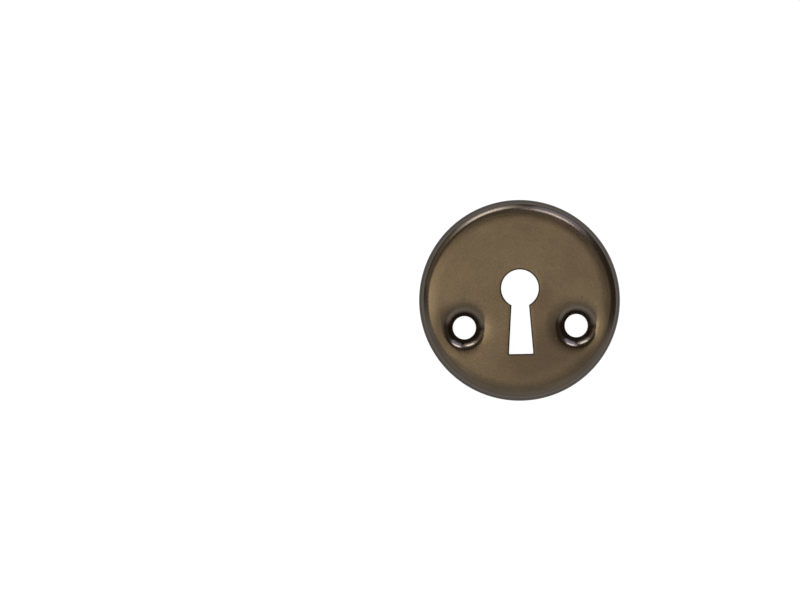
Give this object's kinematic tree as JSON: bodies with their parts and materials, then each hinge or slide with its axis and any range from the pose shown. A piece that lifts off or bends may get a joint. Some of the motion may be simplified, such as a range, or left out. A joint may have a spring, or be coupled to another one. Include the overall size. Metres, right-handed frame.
{
  "type": "key escutcheon",
  "caption": "Round pressed key escutcheon: a shallow brown-oxidised brass cup with a keyhole through its face and countersunk screw seats, screwed to a door around the key.",
  "frame": {"origin": "centre of the round rim, in the plane where the rim meets the door", "axes": "+Z out of the door, towards the person with the key; +Y up the door, from the slot towards the round end of the keyhole; +X to the right seen from the front"},
  "size_m": [0.052, 0.052, 0.0035],
  "materials": {
    "oxidised_brass": "brown oxidised, brushed and lacquered"
  },
  "bodies": {
    "root": {"escutcheon_plate": "oxidised_brass"}
  },
  "joints": []
}
